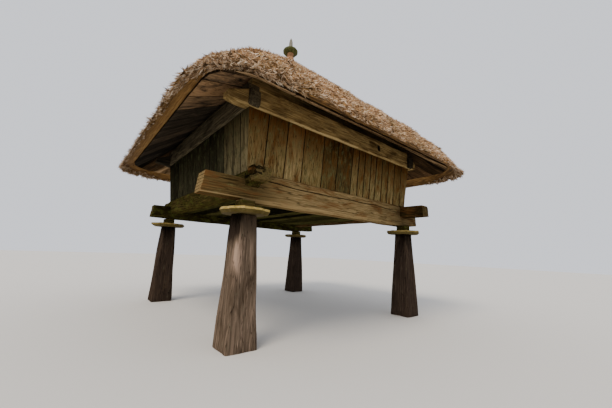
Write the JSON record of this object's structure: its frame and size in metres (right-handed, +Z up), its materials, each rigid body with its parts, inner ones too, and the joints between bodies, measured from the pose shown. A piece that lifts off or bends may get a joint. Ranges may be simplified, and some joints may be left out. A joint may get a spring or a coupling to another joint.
{
  "type": "raised granary",
  "caption": "Square timber granary raised on four tapering pillars with flat capstones, board walls, deep boarded eaves and a hipped thatched roof with a finial.",
  "frame": {"origin": "on the ground at the middle of the plan, level with the undersides of the pillars", "axes": "+Z up, +X to the right along the front, +Y from front to back"},
  "size_m": [8, 8, 8.7621],
  "materials": {
    "pillar_timber": "weathered, checked",
    "capstone": "rough, split slab",
    "block_timber": "weathered",
    "sill_timber": "hewn, weathered, checked",
    "plate_timber": "hewn, weathered",
    "wall_boards": "rough sawn, dark stained",
    "floor_boards": "rough sawn",
    "eave_boards": "rough sawn, smoke dark",
    "roof_timber": "rough hewn",
    "thatch": "combed straw thatch",
    "finial": "mossy fired clay"
  },
  "bodies": {
    "root": {"bearing_block_back_left": "block_timber", "bearing_block_back_right": "block_timber", "bearing_block_front_left": "block_timber", "bearing_block_front_right": "block_timber", "capstone_back_left": "capstone", "capstone_back_right": "capstone", "capstone_front_left": "capstone", "capstone_front_right": "capstone", "common_rafters": "roof_timber", "eave_boards_back": "eave_boards", "eave_boards_front": "eave_boards", "eave_boards_left": "eave_boards", "eave_boards_right": "eave_boards", "finial_ball": "finial", "finial_pot": "finial", "finial_spire": "finial", "floor_planks": "floor_boards", "hip_rafters": "roof_timber", "king_block": "roof_timber", "pillar_back_left": "pillar_timber", "pillar_back_right": "pillar_timber", "pillar_front_left": "pillar_timber", "pillar_front_right": "pillar_timber", "rafter_plate_back": "plate_timber", "rafter_plate_front": "plate_timber", "rafter_plate_left": "plate_timber", "rafter_plate_right": "plate_timber", "sill_beam_back": "sill_timber", "sill_beam_front": "sill_timber", "sill_beam_left": "sill_timber", "sill_beam_right": "sill_timber", "thatch_back": "thatch", "thatch_front": "thatch", "thatch_left": "thatch", "thatch_right": "thatch", "wall_back": "wall_boards", "wall_front": "wall_boards", "wall_left": "wall_boards", "wall_plate_back": "plate_timber", "wall_plate_front": "plate_timber", "wall_plate_left": "plate_timber", "wall_plate_right": "plate_timber", "wall_right": "wall_boards"}
  },
  "joints": []
}
